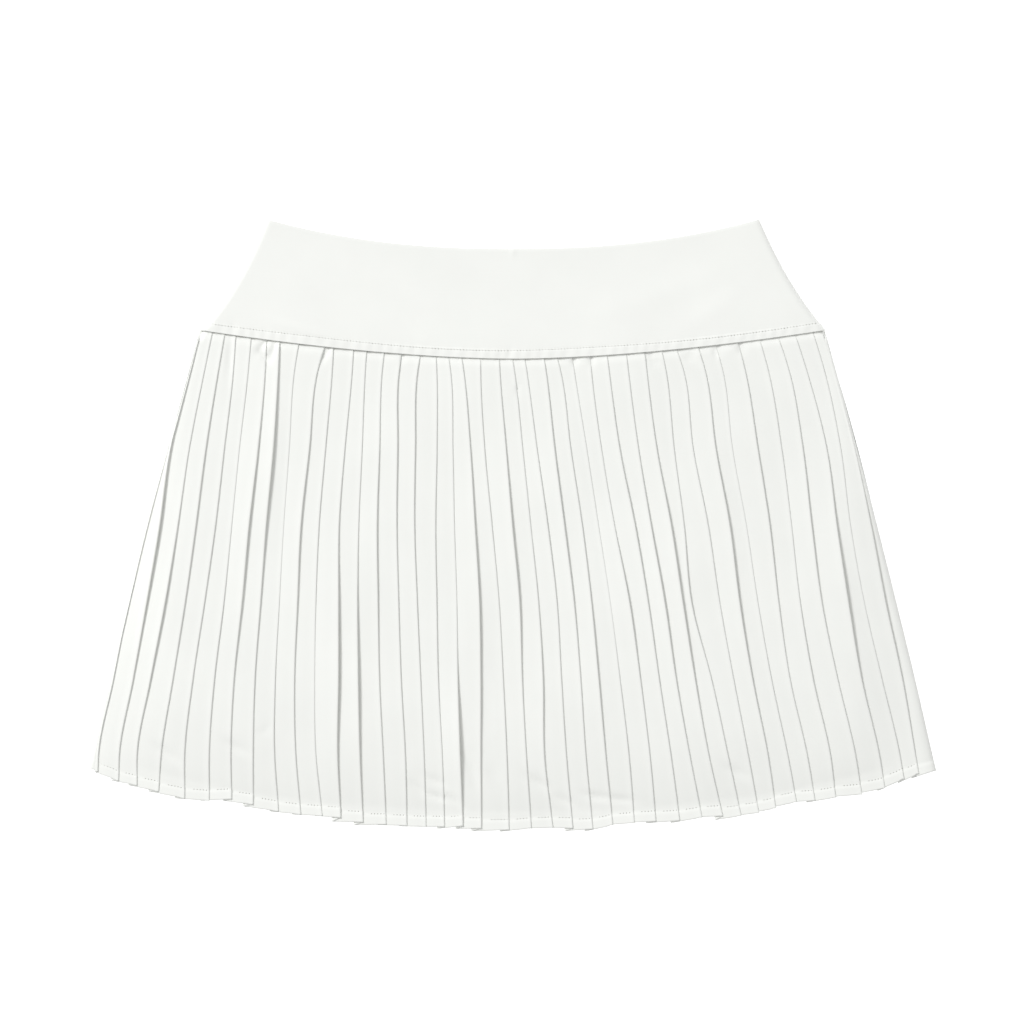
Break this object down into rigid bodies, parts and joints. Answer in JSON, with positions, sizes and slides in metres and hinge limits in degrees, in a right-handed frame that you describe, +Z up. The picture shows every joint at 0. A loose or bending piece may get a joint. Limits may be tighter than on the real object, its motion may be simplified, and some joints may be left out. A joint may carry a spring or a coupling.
{
  "type": "pleated skort",
  "caption": "Knife-pleated flared skirt laid flat, on a wide contoured waistband, with plain built-in shorts hidden inside it.",
  "frame": {"origin": "middle of the laid-out garment, on the surface it lies on", "axes": "+X across the garment, +Y from the hem up to the waist, +Z up from the surface, out of the front of the garment"},
  "size_m": [0.551, 0.3984, 0.0121],
  "materials": {
    "knit": "smooth matt double-knit jersey",
    "pleated_cloth": "fine matt woven cloth with a faint sheen, heat-set pleats"
  },
  "bodies": {
    "root": {"waistband_front": "knit", "waistband_back": "knit", "skirt_front": "pleated_cloth", "skirt_back": "pleated_cloth", "shorts_front_right": "knit", "shorts_front_left": "knit", "shorts_back_right": "knit", "shorts_back_left": "knit"}
  },
  "joints": []
}
